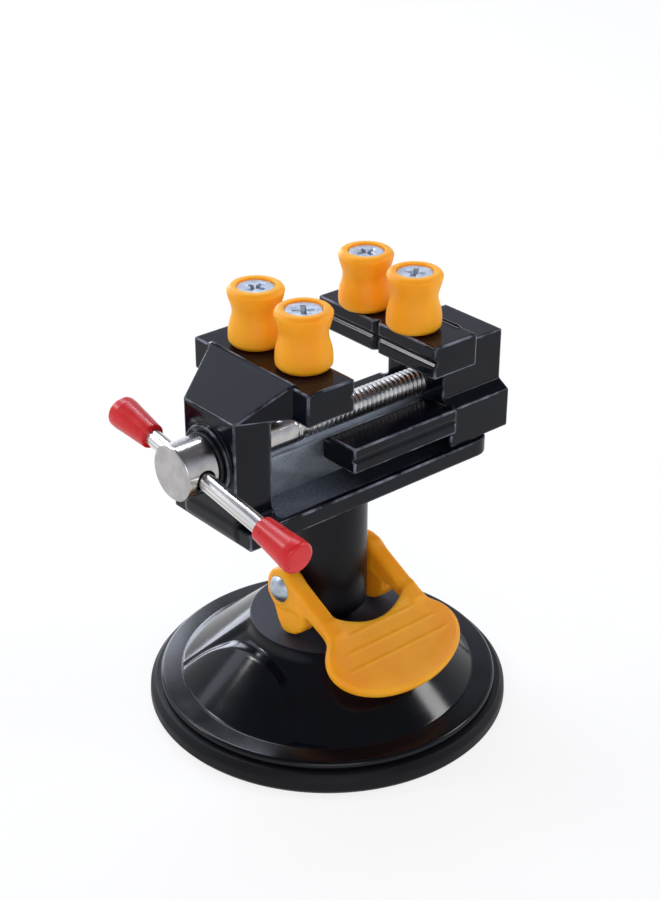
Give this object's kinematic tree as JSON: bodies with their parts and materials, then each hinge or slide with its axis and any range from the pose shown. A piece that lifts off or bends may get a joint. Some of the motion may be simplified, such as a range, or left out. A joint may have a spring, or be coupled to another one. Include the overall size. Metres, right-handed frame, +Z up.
{
  "type": "pcb holder vise",
  "caption": "Small bench vise for circuit boards: two jaws with waisted rollers, a lead screw with a sliding bar, and a suction base locked by a cam lever.",
  "frame": {"origin": "centre of the suction base on the table", "axes": "+Z up, the lead screw along Y with its handle on the -Y side, the lever's thumb pad towards +X"},
  "size_m": [0.0884, 0.0909, 0.1092],
  "materials": {
    "rubber": "matt black rubber",
    "cover": "glossy black moulding, satin on the platform and flange",
    "column": "satin black paint on aluminium",
    "casting": "glossy black enamel on an aluminium casting",
    "lever": "amber orange moulding",
    "roller": "warm yellow moulding",
    "cap": "soft red vinyl",
    "steel": "bright turned steel",
    "nickel": "satin nickel plate",
    "zinc": "bright zinc plate",
    "washer": "blackened steel"
  },
  "bodies": {
    "base": {"suction_rim": "rubber", "base_cover": "cover"},
    "column": {"suction_diaphragm": "rubber", "pull_stud": "zinc", "column": "column", "pivot_rivet": "zinc", "vise_body": "casting", "thrust_washer": "washer", "front_roller_screws": "zinc"},
    "lever": {"lever": "lever"},
    "spindle": {"spindle": "nickel", "lead_screw": "steel", "spindle_pin": "steel", "retaining_ring": "washer"},
    "handle_bar": {"tommy_bar": "steel", "bar_cap_left": "cap", "bar_cap_right": "cap"},
    "rear_jaw": {"moving_jaw": "casting", "rear_roller_screws": "zinc"},
    "roller_front_left": {"roller_front_left": "roller"},
    "roller_front_right": {"roller_front_right": "roller"},
    "roller_rear_left": {"roller_rear_left": "roller"},
    "roller_rear_right": {"roller_rear_right": "roller"}
  },
  "joints": [
    {"name": "column_lift", "type": "slide", "parent": "base", "child": "column", "axis": [0, 0, 1], "range_m": [-0.0025, 0]},
    {"name": "lever_swing", "type": "hinge", "parent": "column", "child": "lever", "pos_m": [0, 0, 0.0343], "axis": [0, -1, 0], "range_deg": [0, 58]},
    {"name": "screw_spin", "type": "hinge", "parent": "column", "child": "spindle", "pos_m": [0, 0, 0.076], "axis": [0, 1, 0], "range_deg": [-2667.3, 4960.6]},
    {"name": "jaw_slide", "type": "slide", "parent": "column", "child": "rear_jaw", "axis": [0, 1, 0], "range_m": [-0.0186, 0.01]},
    {"name": "bar_slide", "type": "slide", "parent": "spindle", "child": "handle_bar", "axis": [0.9877, 0, -0.1564], "range_m": [-0.0193, 0.0069]},
    {"name": "roller_front_left_spin", "type": "hinge", "parent": "column", "child": "roller_front_left", "pos_m": [-0.0083, -0.0137, 0.1], "axis": [0, 0, 1], "continuous": true},
    {"name": "roller_front_right_spin", "type": "hinge", "parent": "column", "child": "roller_front_right", "pos_m": [0.0083, -0.0137, 0.1], "axis": [0, 0, 1], "continuous": true},
    {"name": "roller_rear_left_spin", "type": "hinge", "parent": "rear_jaw", "child": "roller_rear_left", "pos_m": [-0.0083, 0.0188, 0.1], "axis": [0, 0, 1], "continuous": true},
    {"name": "roller_rear_right_spin", "type": "hinge", "parent": "rear_jaw", "child": "roller_rear_right", "pos_m": [0.0083, 0.0188, 0.1], "axis": [0, 0, 1], "continuous": true}
  ],
  "couplings": [
    {"joint": "lever_swing", "follows": "column_lift", "rad_per_m": -404.78},
    {"joint": "screw_spin", "follows": "jaw_slide", "rad_per_m": -4654.2}
  ]
}
